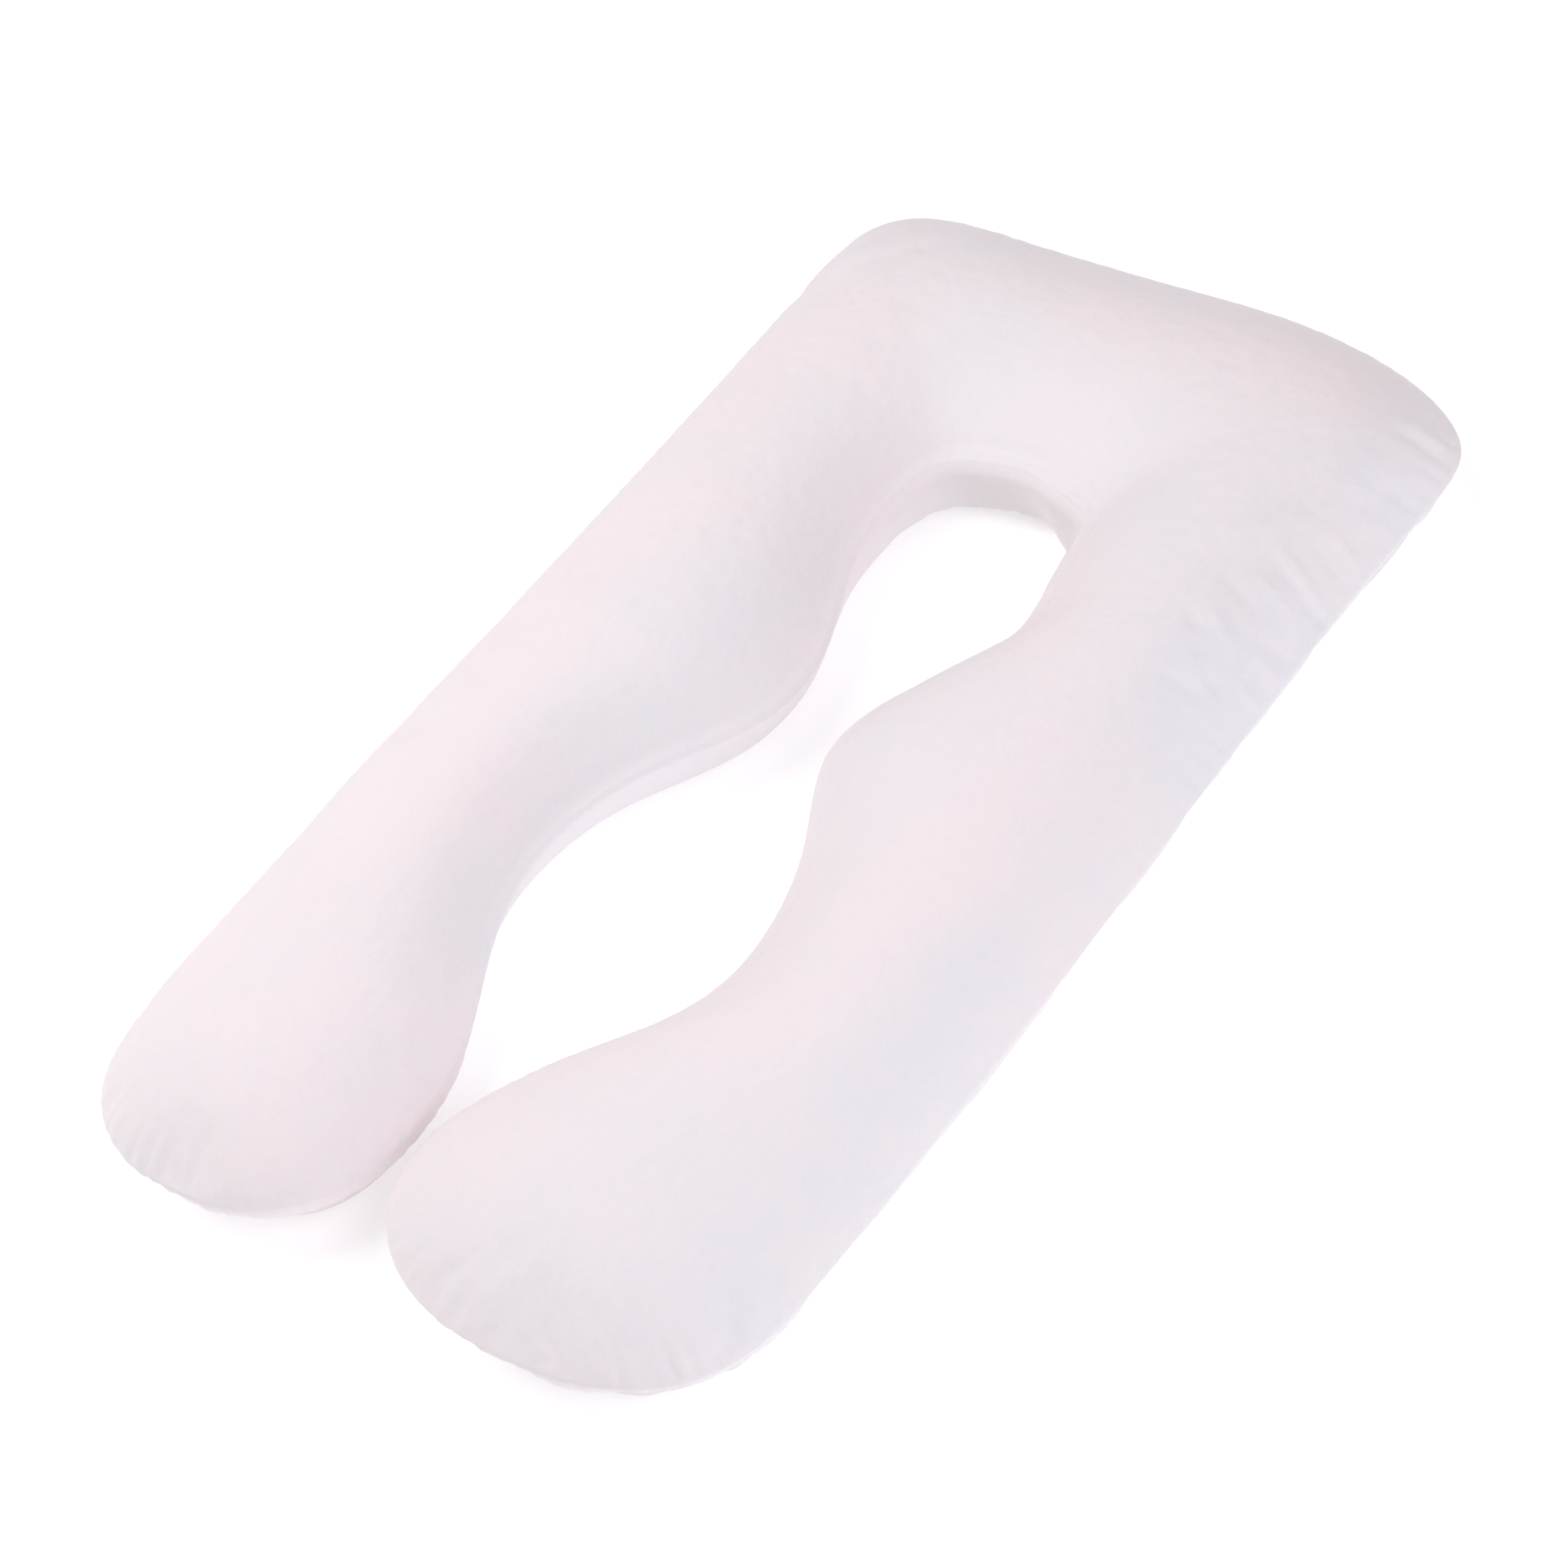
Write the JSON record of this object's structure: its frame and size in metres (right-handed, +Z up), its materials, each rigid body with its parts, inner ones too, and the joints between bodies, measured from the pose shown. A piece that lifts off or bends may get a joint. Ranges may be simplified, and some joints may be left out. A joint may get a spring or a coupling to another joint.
{
  "type": "body pillow",
  "caption": "Full-length U-shaped body pillow: a soft filled tube that runs round a head hole and down both sides, with waisted inner edges and rounded leg ends.",
  "frame": {"origin": "on the floor, under the centre of the pillow's box", "axes": "+Y towards the head end, +X towards the right leg, +Z up out of the face that the sleeper lies on"},
  "size_m": [0.7232, 1.3172, 0.1485],
  "materials": {
    "pillow_fabric": "soft matt short-pile fabric, very pale pinkish white"
  },
  "bodies": {
    "root": {"pillow": "pillow_fabric"}
  },
  "joints": []
}
